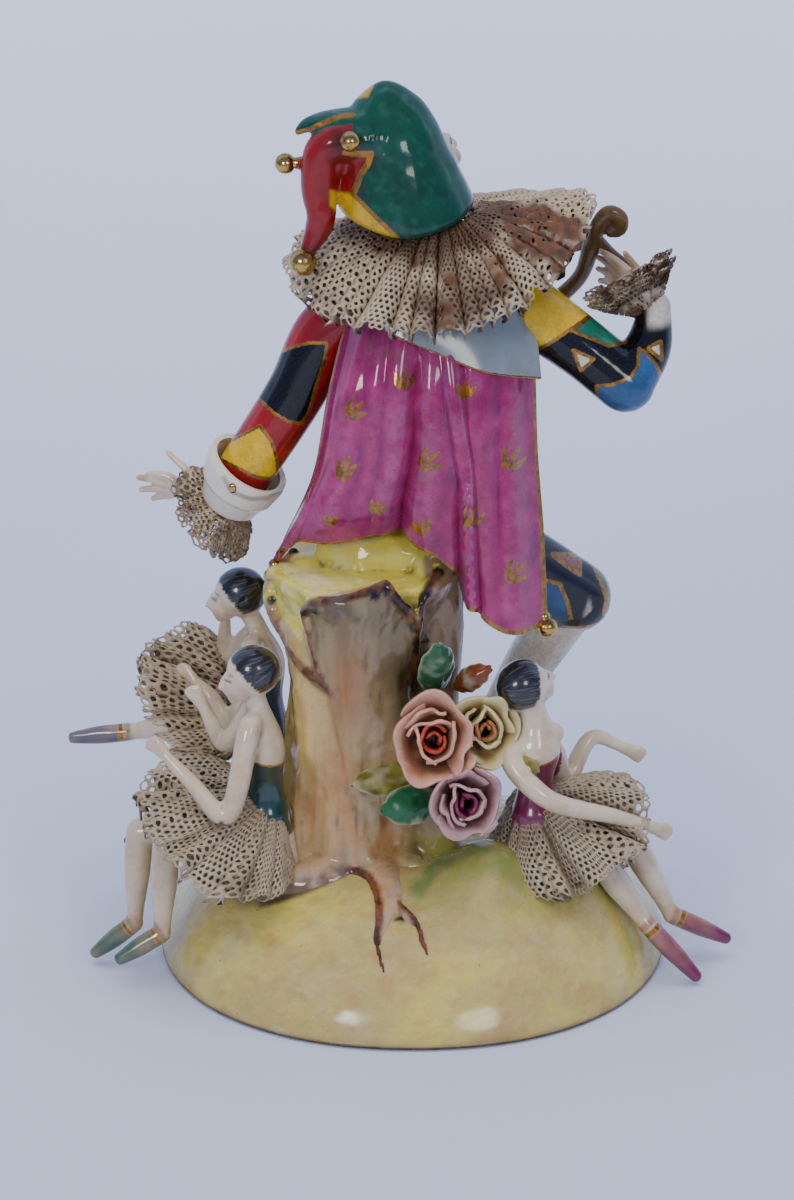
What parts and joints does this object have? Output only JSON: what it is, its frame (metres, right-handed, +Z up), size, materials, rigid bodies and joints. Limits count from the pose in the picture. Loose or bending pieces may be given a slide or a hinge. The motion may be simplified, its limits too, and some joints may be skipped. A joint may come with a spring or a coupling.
{
  "type": "commedia dell arte figure",
  "caption": "Porcelain lace group of a seated jester with a lute on a tree stump, ringed by small dancers in lace skirts, on a rounded ground base that stands on its flat underside.",
  "frame": {"origin": "the middle of the flat underside of the ground base", "axes": "+Z up, +Y the way the jester sits and looks, so the cape and roses at the back face -Y, +X to the jester's right hand"},
  "size_m": [0.148, 0.112, 0.1996],
  "materials": {
    "porcelain": "clear glaze over painted colours, with gilded edges and crackled, stained lace"
  },
  "bodies": {
    "root": {"jester_and_dancers": "porcelain"}
  },
  "joints": []
}
